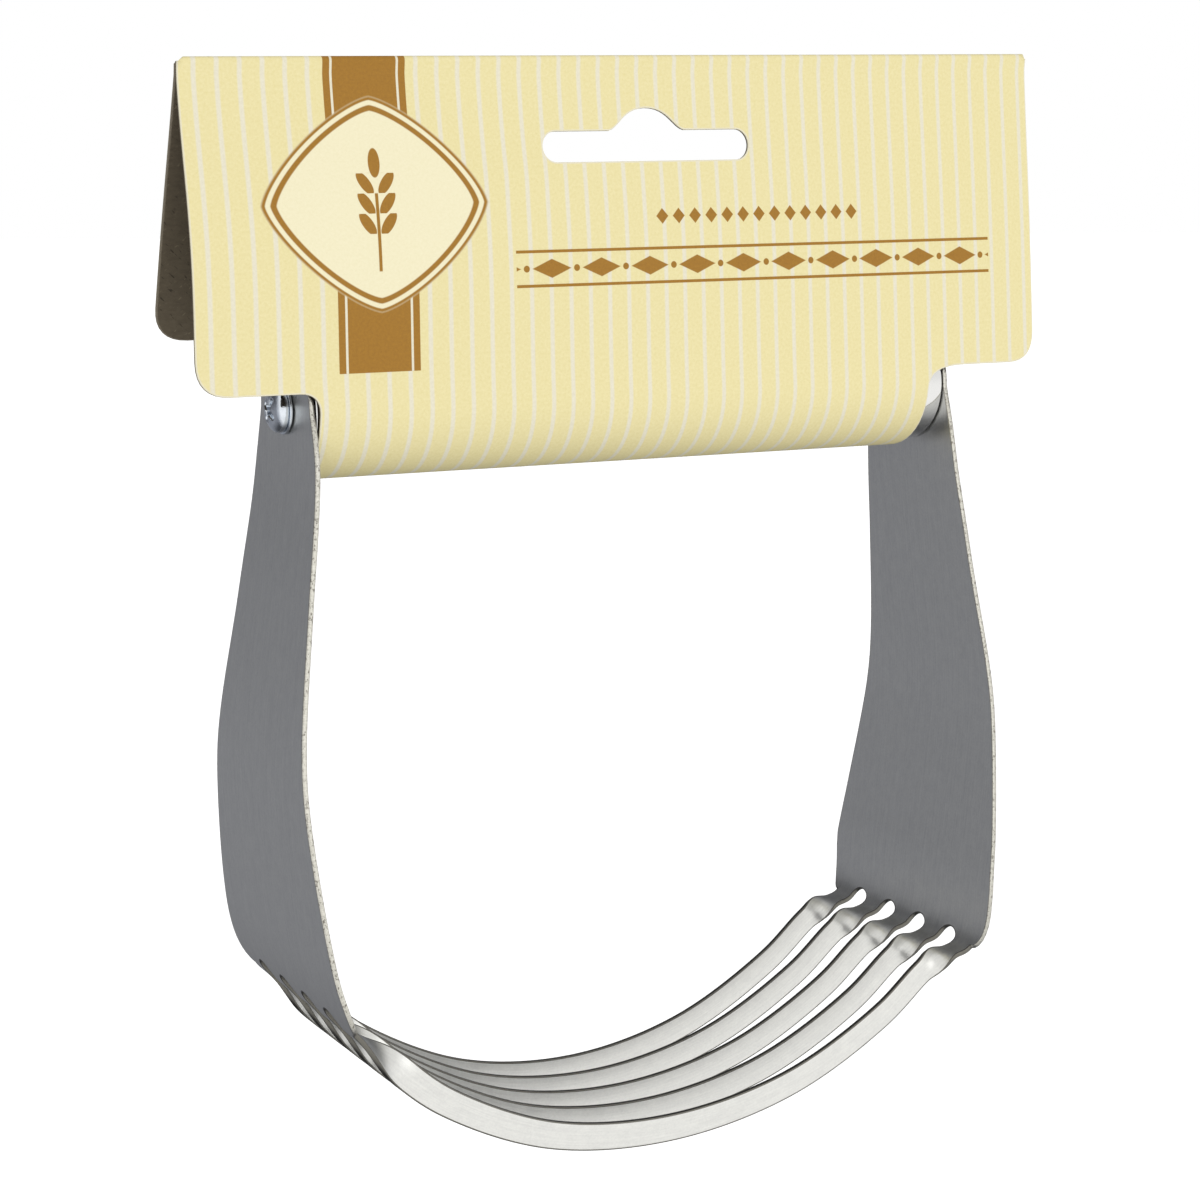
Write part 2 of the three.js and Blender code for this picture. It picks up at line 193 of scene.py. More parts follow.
def inside(points, loops):
    """Which points are inside an odd number of the closed lines."""
    found = np.zeros(len(points), bool)
    x, y = points[:, 0], points[:, 1]
    for loop in loops:
        for (ax, ay), (bx, by) in zip(loop, np.roll(loop, -1, axis=0)):
            if ay != by:
                crosses = (ay > y) != (by > y)
                found ^= crosses & (x < ax + (bx - ax) * (y - ay) / (by - ay))
    return found


def clear_of(points, loops, distance):
    """The points that are inside the loops and at least a distance from them."""
    points = points[inside(points, loops)]
    edge = np.vstack(loops)
    nearest = np.array([np.min(np.sum((edge - p) ** 2, axis=1)) for p in points])
    return points[nearest > distance**2]


def filled(borders, fill):
    """Triangles between closed lines: their corners, the triangles, and each border point's corner."""
    flat = np.vstack(borders + [fill])
    starts = np.cumsum([0] + [len(border) for border in borders])
    links = [
        (start + i, start + (i + 1) % len(border))
        for start, border in zip(starts, borders)
        for i in range(len(border))
    ]
    corners, _, faces, source, _, _ = delaunay_2d_cdt([Vector(p) for p in flat], links, [], 0, 1e-7)
    corners = np.array([tuple(c) for c in corners])
    faces = np.array(faces)
    found = np.zeros(len(flat), int)
    for new, olds in enumerate(source):
        found[olds] = new
    faces = faces[inside(corners[faces].mean(axis=1), borders)]
    a, b, c = (corners[faces[:, k]] for k in range(3))
    turned_over = np.cross(b - a, c - a) < 0
    faces[turned_over] = faces[turned_over][:, ::-1]
    return corners, faces, [found[start : start + len(border)] for start, border in zip(starts, borders)]


def bent_sheet(name, loops, fill, place, thickness, edge_round, materials, seam=None, origin=0.0):
    """One closed mesh: a pattern cut out of sheet, with rounded cut edges, bent into place.

    loops are closed lines in the flat with the sheet on their left, the outer one first, and fill
    is points between them. place(flat, height) says where a point of the flat goes that lies at a
    height from the middle of the sheet. materials are for the upper face, the lower and the edges.
    seam is the two values of the second coordinate that meet when the sheet is bent.
    """
    half = thickness / 2
    lines = [np.array([])] if seam is None else [loops[0][:, 1] == value for value in seam]

    def moved_in(loop, distance):
        result = inset(loop, distance)
        if seam is not None and loop is loops[0]:
            for value, on_seam in zip(seam, lines):
                result[on_seam, 1] = value
        return result

    borders = [moved_in(loop, edge_round + EDGE_SUPPORT) for loop in loops]
    corners, faces, border_corners = filled(borders, clear_of(fill, borders, 0.4))
    count = len(corners)
    flats = [corners, corners]
    heights = [np.full(count, half), np.full(count, -half)]
    polygons = [tuple(f) for f in faces] + [tuple(f[::-1] + count) for f in faces]
    kinds = [0] * len(faces) + [1] * len(faces)
    total = 2 * count
    turns = [0, QUARTER / 2, QUARTER]
    rings = [(edge_round * (1 - math.sin(t)), half - edge_round * (1 - math.cos(t))) for t in turns]
    rings += [(distance, -height) for distance, height in reversed(rings)]
    for loop, top in zip(loops, border_corners):
        size = len(loop)
        shown = np.ones(size, bool)
        if seam is not None and loop is loops[0]:
            for on_seam in lines:
                shown &= ~(on_seam & np.roll(on_seam, -1))
        previous = top
        for distance, height in rings + [(None, None)]:
            if height is None:
                ring = top + count
            else:
                ring = total + np.arange(size)
                flats.append(moved_in(loop, distance))
                heights.append(np.full(size, height))
                total += size
            quads = np.stack([previous, ring, np.roll(ring, -1), np.roll(previous, -1)], axis=1)[shown]
            polygons += [tuple(q) for q in quads]
            kinds += [2] * len(quads)
            previous = ring
    flats = np.vstack(flats)
    heights = np.concatenate(heights)
    same = np.arange(total) if seam is None else joined_at(flats, heights, seam)
    points = to_metres(place(flats, heights))
    pattern = np.column_stack([flats[:, 0], flats[:, 1] - origin, heights])
    return mesh_piece(name, points, polygons, materials, kinds, pattern, same)


def joined_at(flats, heights, seam):
    """For each point, the point that stands for it, so that the two sides of the seam share theirs."""
    near, far = (np.flatnonzero(np.abs(flats[:, 1] - value) < 1e-3) for value in seam)
    keys = {(round(float(flats[i, 0]), 3), round(float(heights[i]), 3)): i for i in near}
    same = np.arange(len(flats))
    for i in far:
        same[i] = keys[(round(float(flats[i, 0]), 3), round(float(heights[i]), 3))]
    return same


def mesh_piece(name, points, polygons, materials, kinds=None, pattern=None, same=None):
    """A mesh object. pattern, if given, is where each point lay in the flat, for the materials."""
    polygons = [tuple(int(i) for i in polygon) for polygon in polygons]
    flat_corners = np.array([i for polygon in polygons for i in polygon])
    if same is not None:
        kept, compact = np.unique(same, return_inverse=True)
        polygons = [tuple(int(compact[i]) for i in polygon) for polygon in polygons]
        points = np.asarray(points)[kept]
    mesh = bpy.data.meshes.new(name)
    mesh.from_pydata([tuple(p) for p in points], [], polygons)
    for material in materials:
        mesh.materials.append(material)
    if kinds is not None:
        mesh.polygons.foreach_set("material_index", kinds)
    mesh.shade_smooth()
    if pattern is not None:
        layer = mesh.attributes.new("pattern_mm", "FLOAT_VECTOR", "CORNER")
        values = pattern[flat_corners].astype(np.float32)
        layer.data.foreach_set("vector", values.ravel())
    if mesh.validate():
        print(name, "had faults that were mended")
    piece = bpy.data.objects.new(name, mesh)
    bpy.context.scene.collection.objects.link(piece)
    return piece


def finished(piece, body, slot, *nodes):
    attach(piece, body)
    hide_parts(*nodes)
    return piece


# ---------- blade frame ----------
def sheet_line():
    """The sheet's middle line in the front view, from the right arm's top to the left arm's."""
    right = [(x, z) for x, z in RIGHT["points"]]
    left = [(-x, z) for x, z in reversed(LEFT["points"])]
    return evenly(curve_through(right + [BOTTOM_MIDDLE] + left), LINE_STEP)


def arm_side(half, along_at):
    """One flank of an arm in the flat, from beside the screw to where the outer strip leaves it."""
    bottom = half["arm_bottom"]
    corner = (bottom + half["corner_height"], ARM_WIDEST)
    flank = evenly(curve_through(FLANK + [corner]), 1.0)
    t = np.linspace(0, 1, 9)[1:, None]
    control = np.array([bottom, ARM_WIDEST])
    end = np.array([bottom, STRIPS_HALF_WIDTH])
    bend = (1 - t) ** 2 * np.array(corner) + 2 * t * (1 - t) * control + t**2 * end
    outline = np.vstack([flank, bend])
    return np.stack([along_at(half, outline[:, 0]), outline[:, 1]], axis=1)


def turned_share(half, from_root):
    """How much of its quarter turn a strip has made, this far from an arm."""
    return smoothstep((from_root - half["neck_flat"]) / (half["neck_length"] - half["neck_flat"]))


def blade_frame():
    line = sheet_line()
    along = np.arange(len(line)) * np.linalg.norm(line[1] - line[0])
    line = softened(line, 8)
    heading = np.gradient(line, axis=0)
    heading /= np.linalg.norm(heading, axis=1)[:, None]
    middle = len(line) // 2

    def along_at(half, height):
        """How far along the line an arm reaches a height."""
        part = slice(0, middle) if half is RIGHT else slice(len(line) - 1, middle, -1)
        return np.interp(-np.asarray(height, float), -line[part, 1], along[part])

    roots = [float(along_at(half, half["root"])) for half in (RIGHT, LEFT)]

    def strip_run(start, end):
        """Stations along a strip: close together in the necks."""
        right_steps = roots[0] + np.arange(-3, RIGHT["neck_length"], 0.3)
        left_steps = roots[1] - np.arange(-3, LEFT["neck_length"], 0.3)
        blade_steps = np.linspace(roots[0] + RIGHT["neck_length"], roots[1] - LEFT["neck_length"], 100)
        places = np.concatenate([right_steps, blade_steps, left_steps])
        places = np.unique(places.round(2))
        return places[(places > start + 0.2) & (places < end - 0.2)]

    def top_arc(half):
        turn = np.linspace(QUARTER, -QUARTER, 33)[1:-1]
        centre = float(along_at(half, 0))
        outward = -half["side"]
        along_sheet = centre + outward * ARM_TOP_RADIUS * np.cos(turn)
        return np.stack([along_sheet, ARM_TOP_RADIUS * np.sin(turn)], axis=1)

    flip = np.array([1, -1])
    right_flank = arm_side(RIGHT, along_at)
    left_flank = arm_side(LEFT, along_at)
    run = strip_run(right_flank[-1, 0], left_flank[-1, 0])
    edge = np.stack([run, np.full(len(run), STRIPS_HALF_WIDTH)], axis=1)
    outline = np.vstack(
        [
            top_arc(RIGHT),
            right_flank * flip,
            edge * flip,
            left_flank[::-1] * flip,
            top_arc(LEFT)[::-1],
            left_flank,
            edge[::-1],
            right_flank[::-1],
        ]
    )
    loops = [outline]
    for offset in (BLADE_OFFSETS[:-1] + BLADE_OFFSETS[1:]) / 2:
        start, end = (
            float(along_at(half, half["slot_top"] - SLOT_WIDTH / 2)) for half in (RIGHT, LEFT)
        )
        side = strip_run(start, end)
        turn = np.linspace(-QUARTER, QUARTER, 13)
        half_width = SLOT_WIDTH / 2
        past, beside = half_width * np.cos(turn), half_width * np.sin(turn)
        near_tip = np.stack([start - past, offset + beside], axis=1)
        far_tip = np.stack([end + past, offset - beside], axis=1)
        upper = np.stack([side, np.full(len(side), offset + half_width)], axis=1)
        lower = np.stack([side[::-1], np.full(len(side), offset - half_width)], axis=1)
        loops.append(np.vstack([near_tip, upper, far_tip, lower]))
    for half in (RIGHT, LEFT):
        turn = -np.linspace(0, 2 * math.pi, 40, endpoint=False)
        centre = float(along_at(half, 0))
        loops.append(np.stack([centre + SCREW_HOLE * np.cos(turn), SCREW_HOLE * np.sin(turn)], axis=1))

    grid = np.stack(
        np.meshgrid(np.arange(0.7, along[-1], 1.1), np.arange(-ARM_WIDEST, ARM_WIDEST, 1.1)), axis=-1
    ).reshape(-1, 2)
    on_arms = (grid[:, 0] < roots[0] - 1) | (grid[:, 0] > roots[1] + 1)
    lanes = BLADE_OFFSETS[:, None] + np.linspace(-1, 1, 3) * STRIP_WIDTH / 5
    run = strip_run(roots[0] - 1, roots[1] + 1)
    rails = np.stack(np.meshgrid(run, lanes.ravel()), axis=-1).reshape(-1, 2)
    fill = np.vstack([grid[on_arms], rails])

    def place(flat, height):
        station, across = flat.T
        x, z = (np.interp(station, along, column) for column in line.T)
        tx, tz = (np.interp(station, along, column) for column in heading.T)
        size = np.hypot(tx, tz)
        inward = np.stack([tz / size, np.zeros(len(x)), -tx / size], axis=1)
        front = np.array([0.0, -1.0, 0.0])
        lane = BLADE_OFFSETS[np.argmin(np.abs(across[:, None] - BLADE_OFFSETS), axis=1)]
        turn = QUARTER * np.minimum(
            turned_share(RIGHT, station - roots[0]), turned_share(LEFT, roots[1] - station)
        )
        half_way = np.sin(np.pi * np.clip((station - roots[0]) / (roots[1] - roots[0]), 0, 1)) ** 2
        sag = (BLADE_SAG - BLADE_LEAN * lane) * half_way
        cos, sin = np.cos(turn)[:, None], np.sin(turn)[:, None]
        over = (across - lane)[:, None]
        middle_of_lane = np.stack([x, np.zeros(len(x)), z - sag], axis=1) + front * lane[:, None]
        through = height[:, None] * (inward * cos + front * sin)
        return middle_of_lane + over * (front * cos - inward * sin) + through

    materials = [brushed_steel(), brushed_steel(), sheared_edge(start, end)]
    piece = bent_sheet("blade_frame_sheet", loops, fill, place, SHEET, EDGE_ROUND, materials)
    return finished(piece, "tool", "brushed_sheet", "blade_frame")


# ---------- hang card ----------
SEAM_HEIGHT = 22.0  # glued seam, up the back panel
WING_CORNER = 4.5
FRONT_WINGS = {"left": 3.9, "right": 3.6}  # lower edges above the handle axis
BACK_WINGS = {"left": 8.7, "right": 8.7}
BACK_FILLET = (1.2, 1.2)  # small, so that the arms clear the back wings when the tool swings up
WING_FILLETS = {"left": (2.5, 2.5), "right": (6.5, 3.0)}  # across the card, and up it
SLOT_HALF = 16.0
SLOT_HIGH = 4.0
SLOT_MIDDLE = 34.1
HUMP = 2.9
HUMP_HALF = 5.8
BACK_SLOT_EXTRA = 4.6
RIDGE_RADIUS = 0.32  # middle of the board round the fold
PRESSED = 1.7  # how far below the fold the two panels stay together
CARD_STEP = 0.05


def card_line():
    """Middle of the board in the side view: (y, z), from the seam down the back, round and up."""
    fold = RIDGE_HEIGHT - BOARD / 2 - RIDGE_RADIUS
    pressed = fold - PRESSED
    spread = math.asin((WRAP_RADIUS - RIDGE_RADIUS) / (pressed - WRAP_RISE))
    wrap = np.linspace(spread, -math.pi - spread, 160)
    ridge = np.linspace(math.pi, 0, 40)
    low = np.stack([WRAP_RADIUS * np.cos(wrap), WRAP_RISE + WRAP_RADIUS * np.sin(wrap)], axis=1)
    high = np.stack([RIDGE_RADIUS * np.cos(ridge), fold + RIDGE_RADIUS * np.sin(ridge)], axis=1)
    front_pinch, back_pinch = np.array([-RIDGE_RADIUS, pressed]), np.array([RIDGE_RADIUS, pressed])
    part = (SEAM_HEIGHT - low[0, 1]) / (pressed - low[0, 1])
    seam = low[0] + part * (back_pinch - low[0])
    return softened(evenly(np.vstack([seam, low, front_pinch, high, back_pinch, seam]), CARD_STEP), 4)


def wing_edge(wings, side):
    """Outline below one wing, as (x, height): from the tongue out to the card's side edge."""
    height = wings[side]
    wide, tall = BACK_FILLET if wings is BACK_WINGS else WING_FILLETS[side]
    sign, tongue = (-1, TONGUE_LEFT) if side == "left" else (1, TONGUE_RIGHT)
    t = np.linspace(0, 1, 9)[:, None]

    def bend(start, control, end):
        return (1 - t) ** 2 * np.array(start) + 2 * t * (1 - t) * np.array(control) + t**2 * np.array(end)

    inner = bend((tongue, height - tall), (tongue, height), (tongue + wide, height))
    outer = bend((CARD_HALF - WING_CORNER, height), (CARD_HALF, height), (CARD_HALF, height + WING_CORNER))
    return np.vstack([inner, outer]) * np.array([sign, 1])


def slot_outline(extra):
    """Peg slot as (x, height): round ends, and a hump in the middle of its upper edge."""
    half = SLOT_HIGH / 2 + extra / 3
    straight = SLOT_HALF + extra - half
    high = SLOT_MIDDLE + half
    top = high + HUMP
    hump_half = HUMP_HALF + extra / 2
    turn = np.linspace(-QUARTER, QUARTER, 17)[:, None]
    end = np.hstack([straight + half * np.cos(turn), SLOT_MIDDLE + half * np.sin(turn)])
    t = np.linspace(0, 1, 12)[:, None]
    foot, shoulder, brow, crown = (
        np.array(p)
        for p in ((hump_half, high), (0.72 * hump_half, high + 0.4), (0.59 * hump_half, top), (0, top))
    )
    hump = (1 - t) ** 3 * foot + 3 * t * (1 - t) ** 2 * shoulder + 3 * t**2 * (1 - t) * brow + t**3 * crown
    right = np.vstack([end, hump])
    left = right[::-1][1:] * np.array([-1, 1])
    return np.vstack([right, left])


def resampled(line, step, closed=True):
    """A line with points about a step apart on its long stretches, and its own points kept."""
    pieces = []
    ends = np.roll(line, -1, axis=0) if closed else line[1:]
    for here, there in zip(line, ends):
        count = max(1, round(float(np.linalg.norm(there - here)) / step))
        pieces.append(here + (there - here) * (np.arange(count) / count)[:, None])
    return np.vstack(pieces)


def hang_card():
    dense = card_line()
    steps = np.linalg.norm(np.diff(dense, axis=0), axis=1)
    even = np.concatenate([[0], np.cumsum(steps)])
    total = even[-1]
    heading = np.gradient(dense, axis=0)
    heading /= np.linalg.norm(heading, axis=1)[:, None]
    under = int(np.argmin(dense[:, 1]))
    crown = int(np.argmax(dense[:, 1]))

    def up_front(height):
        return np.interp(height, dense[under:crown, 1], even[under:crown])

    def up_back(height):
        """Distance along the line at a height of the back panel, below or above the seam."""
        below = np.interp(height, dense[under::-1, 1], even[under::-1])
        above = np.interp(height, dense[:crown:-1, 1], even[:crown:-1])
        return np.where(np.asarray(height) < SEAM_HEIGHT, below, above)

    axis_height = float(up_front(0.0))

    def laid(outline, up):
        return np.stack([outline[:, 0], up(outline[:, 1])], axis=1)

    seam = np.linspace(-CARD_HALF, CARD_HALF, 118)
    right_back = laid(wing_edge(BACK_WINGS, "right"), up_back)
    right_front = laid(wing_edge(FRONT_WINGS, "right"), up_front)
    left_back = laid(wing_edge(BACK_WINGS, "left"), up_back)
    left_front = laid(wing_edge(FRONT_WINGS, "left"), up_front)
    sides = np.vstack([right_back[::-1], right_front, [[CARD_HALF, total]]])
    far = np.vstack([[[-CARD_HALF, total]], left_front[::-1], left_back])
    outline = np.vstack(
        [
            np.stack([seam, np.zeros(len(seam))], axis=1)[:-1],
            resampled(np.vstack([[[CARD_HALF, 0]], sides]), 1.3, closed=False),
            np.stack([seam[::-1], np.full(len(seam), total)], axis=1)[:-1],
            resampled(np.vstack([far, [[-CARD_HALF, 0]]]), 1.3, closed=False),
        ]
    )
    keep = np.linalg.norm(outline - np.roll(outline, 1, axis=0), axis=1) > 0.05
    outline = outline[keep]
    front_slot = laid(slot_outline(0)[::-1], up_front)
    back_slot = laid(slot_outline(BACK_SLOT_EXTRA), up_back)
    loops = [outline, resampled(front_slot, 1.0), resampled(back_slot, 1.0)]
    grid = np.stack(
        np.meshgrid(np.arange(-CARD_HALF + 1, CARD_HALF, 1.3), np.arange(0.7, total, 0.9)), axis=-1
    ).reshape(-1, 2)
    grid = grid[np.abs(grid[:, 1] - even[crown]) > 1.5]
    fold_rows = even[crown] + np.linspace(-1.2, 1.2, 17) * (math.pi / 2 * RIDGE_RADIUS + 0.2)
    fold_columns = np.arange(-CARD_HALF + 1, CARD_HALF, 1.3)
    folds = np.stack(np.meshgrid(fold_columns, fold_rows), axis=-1).reshape(-1, 2)

    def place(flat, height):
        x, w = flat.T
        y, z = (np.interp(w, even, column) for column in dense.T)
        ty, tz = (np.interp(w, even, column) for column in heading.T)
        size = np.hypot(ty, tz)
        out_y, out_z = -tz / size, ty / size
        up_panel = np.clip((z - WRAP_RISE) / (RIDGE_HEIGHT - WRAP_RISE), 0, 1)
        lift = height + card_bow(x, y, up_panel, w - axis_height)
        y = y + out_y * lift
        z = z + out_z * lift
        scale = 1 + CARD_TAPER * x
        y = y * scale
        z = CARD_BOTTOM + (z - CARD_BOTTOM) * scale
        cos, sin = math.cos(CARD_LEAN), math.sin(CARD_LEAN)
        return np.stack([x, y * cos - z * sin, y * sin + z * cos], axis=1)

    piece = bent_sheet(
        "hang_card_board",
        loops,
        np.vstack([grid, folds]),
        place,
        BOARD,
        0.08,
        [printed_face(), bare_board(), cut_board()],
        seam=(0.0, total),
        origin=axis_height,
    )
    return finished(piece, "card", "printed_board", "hang_card")


def card_bow(x, y, up_panel, height):
    """How far the board stands out from its straight folded shape."""
    left = smoothstep((CARD_HALF - x) / (2 * CARD_HALF))
    arch = np.sin(math.pi * np.clip(up_panel * 1.05, 0, 1)) ** 2
    front = y < 0
    bow = np.where(front, 0.15 + 1.25 * left, 0.35) * arch
    crease = np.exp(-(((x + 48) / 2.6) ** 2) - ((height - 2.0) / 2.4) ** 2)
    ripple = np.exp(-(((x + 20) / 7) ** 2) - ((height - 31) / 3.5) ** 2)
    return bow + np.where(front, 0.22 * ripple + 0.3 * crease, 0)


# ---------- turned pieces ----------
def turned(name, profile, segments, materials, side=1):
    """A piece turned about the X axis from a closed line of (distance along X, radius)."""
    profile = np.array(profile, float)
    turn = np.linspace(0, 2 * math.pi, segments, endpoint=False)
    rows = len(profile)
    points = []
    for angle in turn:
        along, radius = profile.T
        ring = np.stack([side * along, radius * np.cos(angle), radius * np.sin(angle)], axis=1)
        points.append(ring)
    polygons = []
    for i in range(segments):
        j = (i + 1) % segments
        for a in range(rows):
            b = (a + 1) % rows
            quad = (i * rows + a, i * rows + b, j * rows + b, j * rows + a)
            polygons.append(quad if side > 0 else quad[::-1])
    return mesh_piece(name, to_metres(np.vstack(points)), polygons, materials)


def rounded_rectangle(x_low, x_high, r_low, r_high, corner, steps=6):
    """A closed profile with rounded corners."""
    lines = []
    corners = [(x_high, r_high, 0), (x_low, r_high, 1), (x_low, r_low, 2), (x_high, r_low, 3)]
    for x, r, quarter in corners:
        along = corner if quarter in (1, 2) else -corner
        outward = corner if quarter > 1 else -corner
        centre = np.array([x + along, r + outward])
        turn = QUARTER * quarter + np.linspace(0, QUARTER, steps)
        lines.append(centre + corner * np.stack([np.cos(turn), np.sin(turn)], axis=1))
    return np.vstack(lines)


def handle_tube():
    profile = rounded_rectangle(-HANDLE_HALF, HANDLE_HALF, HANDLE_RADIUS - TUBE_WALL, HANDLE_RADIUS, 0.25)
    piece = turned("handle_tube_polished", resampled(profile, 4.0), 128, [polished_tube()])
    return finished(piece, "tool", "polished_tube", "handle_tube")


def washer(side, name):
    low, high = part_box(name)
    radius = (high.z - low.z) / 2 / MM
    profile = rounded_rectangle(ARM_OUTSIDE, ARM_OUTSIDE + WASHER_THICKNESS, SCREW_HOLE, radius, 0.12, 4)
    piece = turned(name + "_plated", profile, 80, [plated("washer_plating_look", 0.22)], side)
    return finished(piece, "tool", "washer_plating", name)


# ---------- screws ----------
SHANK_RADIUS = 1.75
HEAD_HEIGHT = 1.9
HEAD_RIM = 0.45  # straight part of the head's height
CROSS_HALF = 1.8
LIP_SHARE = 0.86  # of the head's radius: the recess and its surroundings lie inside this circle
CROSS_ARM = 0.4  # half the width of one arm of the cross
CROSS_DEEP = 1.05
CROSS_TURN = math.pi / 5


def cross_outline(half_span, half_width, corner=0.16):
    """Outline of a cross recess, anticlockwise, with rounded ends and rounded inner corners."""
    arm = []
    turn = np.linspace(-QUARTER, QUARTER, 9)
    arm += [(half_span - half_width + half_width * math.cos(t), half_width * math.sin(t)) for t in turn]
    turn = np.linspace(-QUARTER, -2 * QUARTER, 5)
    inner = half_width + corner
    arm += [(inner + corner * math.cos(t), inner + corner * math.sin(t)) for t in turn]
    arm = np.array(arm)
    loops = []
    for quarter in range(4):
        c, s = math.cos(QUARTER * quarter), math.sin(QUARTER * quarter)
        loops.append(arm @ np.array([[c, s], [-s, c]]))
    return np.vstack(loops)


def screw(side, name):
    low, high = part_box(name)
    tip = min(abs(low.x), abs(high.x)) / MM
    head = (high.z - low.z) / 2 / MM
    rim = HEAD_RIM
    seat = ARM_OUTSIDE + WASHER_THICKNESS + 0.02
    crown = seat + HEAD_HEIGHT
    dome = HEAD_HEIGHT - rim

    def dome_height(radius):
        return seat + rim + dome * np.sqrt(np.clip(1 - (radius / head) ** 2, 0, 1))

    lip = LIP_SHARE * head
    turn = np.linspace(0, 2 * math.pi, 72, endpoint=False)
    circle = lip * np.stack([np.cos(turn), np.sin(turn)], axis=1)
    crossed = cross_outline(CROSS_HALF + 0.08, CROSS_ARM + 0.08)
    rings_of_fill = [
        np.stack([r * np.cos(turn[::3] + r), r * np.sin(turn[::3] + r)], axis=1) for r in (1.95, 2.15, 2.35)
    ]
    corners, faces, (rim_corners, cross_corners) = filled(
        [circle, crossed], clear_of(np.vstack(rings_of_fill), [circle, crossed], 0.12)
    )
    polygons = [tuple(f) for f in faces]
    points = [np.column_stack([dome_height(np.hypot(*corners.T)), corners])]
    total = len(corners)

    def add_rings(first, rings):
        nonlocal total
        previous = first
        for ring in rings:
            points.append(ring)
            current = total + np.arange(len(ring))
            total += len(ring)
            following, previous_following = np.roll(current, -1), np.roll(previous, -1)
            polygons.extend(zip(previous, current, following, previous_following))
            previous = current
        return previous

    angle = np.linspace(math.asin(LIP_SHARE), QUARTER, 8)[1:]
    outer = [(seat + rim + dome * math.cos(t), head * math.sin(t)) for t in angle]
    outer += [(seat + 0.2, head), (seat + 0.06, head - 0.06), (seat, head - 0.2), (seat, SHANK_RADIUS + 0.15)]
    outer += [(seat - 0.15, SHANK_RADIUS), (tip + 0.5, SHANK_RADIUS), (tip, SHANK_RADIUS - 0.5)]
    unit = circle / lip
    last = add_rings(rim_corners, [np.column_stack([np.full(72, x), unit * r]) for x, r in outer])
    polygons.append(tuple(last))
    recess = []
    for shrink, depth in ((0.03, -0.03), (0.08, -0.1), (0.13, -0.5), (0.2, -CROSS_DEEP)):
        ring = cross_outline(CROSS_HALF + 0.08 - shrink * 2.2, CROSS_ARM + 0.08 - shrink)
        lifted = dome_height(np.hypot(*crossed.T)) if depth > -0.2 else crown
        recess.append(np.column_stack([np.zeros(len(ring)) + lifted + depth, ring]))
    last = add_rings(cross_corners, recess)
    # The inner rings run the other way round seen from outside the recess.
    start = len(polygons) - len(crossed) * len(recess)
    polygons[start:] = [p[::-1] for p in polygons[start:]]
    points.append(np.array([[crown - CROSS_DEEP - 0.15, 0.0, 0.0]]))
    polygons += [(a, b, total) for a, b in zip(last, np.roll(last, -1))]
    cloud = np.vstack(points)
    c, s = math.cos(CROSS_TURN), math.sin(CROSS_TURN)
    cloud[:, 1:] = cloud[:, 1:] @ np.array([[c, s], [-s, c]])
    if side < 0:
        cloud[:, 0] *= -1
        polygons = [p[::-1] for p in polygons]
    piece = mesh_piece(name + "_plated", to_metres(cloud), polygons, [plated("screw_plating_look", 0.1)])
    return finished(piece, "tool", "screw_plating", name)


# ---------- materials ----------
def colour(red, green, blue):
    """A colour from its 0 to 255 values on screen."""
    linear = [v / 255 / 12.92 if v <= 10 else ((v / 255 + 0.055) / 1.055) ** 2.4 for v in (red, green, blue)]
    return (*linear, 1.0)


class Value:
    """A number that varies over a surface. Arithmetic on it adds math nodes."""

    def __init__(self, tree, socket):
        self.tree = tree
        self.socket = socket

    def math(self, operation, *others):
        node = self.tree.nodes.new("ShaderNodeMath")
        node.operation = operation
        for slot, term in zip(node.inputs, (self, *others)):
            if isinstance(term, Value):
                self.tree.links.new(term.socket, slot)
            else:
                slot.default_value = term
        return Value(self.tree, node.outputs[0])

    def __add__(self, other):
        return self.math("ADD", other)

    def __sub__(self, other):
        return self.math("SUBTRACT", other)

    def __mul__(self, other):
        return self.math("MULTIPLY", other)

    def __truediv__(self, other):
        return self.math("DIVIDE", other)

    def __abs__(self):
        return self.math("ABSOLUTE")

    def within(self, limit, blur):
        """1 where this is below the limit and 0 above it, blurred over a short stretch."""
        node = self.tree.nodes.new("ShaderNodeMapRange")
        node.interpolation_type = "SMOOTHSTEP"
        self.tree.links.new(self.socket, node.inputs["Value"])
        node.inputs["From Min"].default_value = limit - blur / 2
        node.inputs["From Max"].default_value = limit + blur / 2
        node.inputs["To Min"].default_value = 1.0
        node.inputs["To Max"].default_value = 0.0
        return Value(self.tree, node.outputs["Result"])

    def spread(self, low, high):
        """Stretches 0 to 1 to low to high."""
        return self * (high - low) + low


